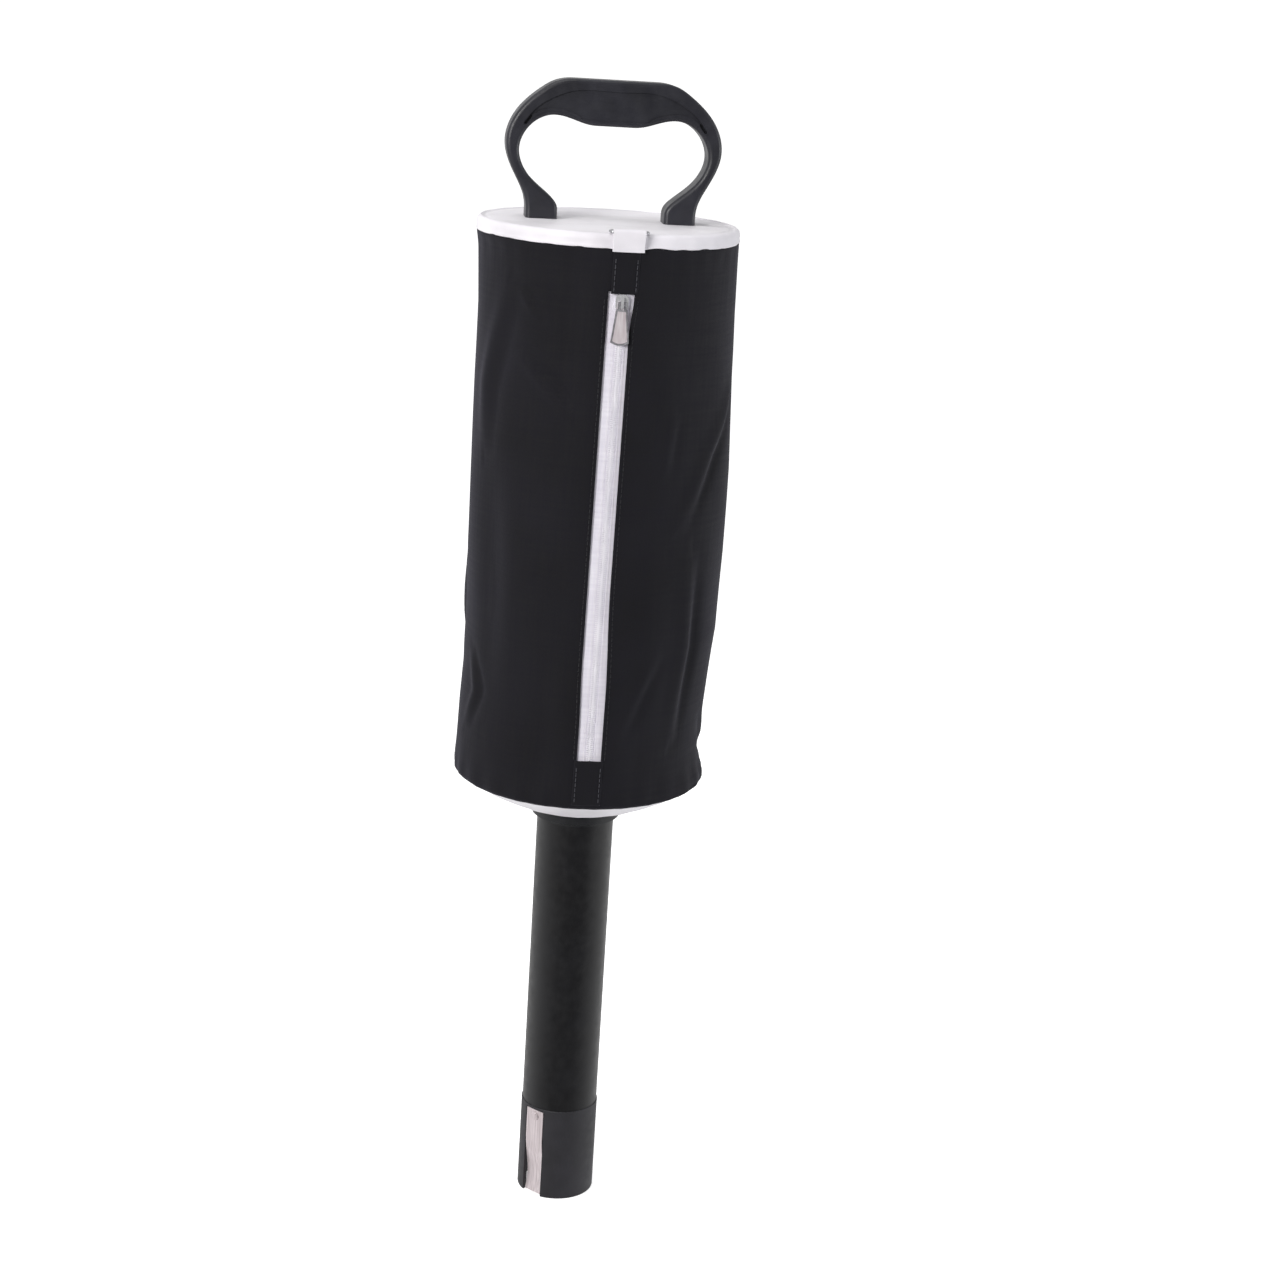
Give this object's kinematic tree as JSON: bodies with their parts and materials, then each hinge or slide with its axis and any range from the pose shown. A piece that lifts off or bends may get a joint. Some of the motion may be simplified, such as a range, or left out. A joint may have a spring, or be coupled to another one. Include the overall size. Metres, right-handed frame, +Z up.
{
  "type": "golf ball shag bag",
  "caption": "Golf ball pick-up tube with spring leaves in its mouth, a zipped ball bag round its upper half and a carry handle on top.",
  "frame": {"origin": "centre of the tube's mouth, at its lower end", "axes": "+Z up the tube to the handle, -Y out of the zipped front, +X to the right seen from the front"},
  "size_m": [0.1618, 0.1655, 0.736],
  "materials": {
    "tube_black": "smooth extruded pipe, semi-gloss",
    "nozzle_black": "moulded, fine matt grain",
    "steel": "plain zinc-plated steel",
    "spring_steel": "brushed spring strip",
    "white_cover": "white coated cloth, fine grain",
    "black_cloth": "black woven polyester, waterproof backed",
    "zipper_white": "white woven zipper tape",
    "zipper_nylon": "white nylon coil",
    "chrome": "nickel-plated die casting",
    "board_grey": "pressed plastic stiffener board",
    "handle_charcoal": "moulded, satin"
  },
  "bodies": {
    "bag": {"tube": "tube_black", "nozzle": "nozzle_black", "leaf_rivets": "steel", "tube_collar": "nozzle_black", "clamp_ring": "nozzle_black", "bottom_cover": "white_cover", "bottom_hoop": "steel", "bottom_piping": "black_cloth", "bag_wall": "black_cloth", "placket_upper": "black_cloth", "placket_lower": "black_cloth", "zipper_tape_left": "zipper_white", "zipper_tape_right": "zipper_white", "zipper_coil_left": "zipper_nylon", "zipper_coil_right": "zipper_nylon", "zipper_top_stops": "steel", "zipper_bottom_stop": "steel", "top_cover": "white_cover", "top_board": "board_grey", "tube_socket": "nozzle_black", "socket_screws": "steel", "handle_washers": "steel", "handle_screws": "steel", "ring_tab": "white_cover", "handle": "handle_charcoal"},
    "slider": {"zipper_slider": "chrome"},
    "pull": {"zipper_pull": "chrome"},
    "ring": {"d_ring": "chrome"},
    "leaf_1": {"leaf_spring_1": "spring_steel"},
    "leaf_2": {"leaf_spring_2": "spring_steel"}
  },
  "joints": [
    {"name": "zipper", "type": "slide", "parent": "bag", "child": "slider", "axis": [0.0138, 0, 0.9999], "range_m": [-0.2725, 0]},
    {"name": "pull_hinge", "type": "hinge", "parent": "slider", "child": "pull", "pos_m": [0.00192, -0.0821, 0.61329], "axis": [-0.9999, 0, 0.0138], "range_deg": [0, 170]},
    {"name": "ring_hinge", "type": "hinge", "parent": "bag", "child": "ring", "pos_m": [0.004, -0.0826, 0.6537], "axis": [1, 0, 0], "range_deg": [0, 230]},
    {"name": "leaf_flex_1", "type": "hinge", "parent": "bag", "child": "leaf_1", "pos_m": [-0.01733, -0.01703, 0.0575], "axis": [-0.7009, 0.7133, 0], "range_deg": [0, 2.5], "stiffness_Nm_per_rad": 2},
    {"name": "leaf_flex_2", "type": "hinge", "parent": "bag", "child": "leaf_2", "pos_m": [0.01733, 0.01703, 0.0575], "axis": [0.7009, -0.7133, 0], "range_deg": [0, 2.5], "stiffness_Nm_per_rad": 2}
  ]
}
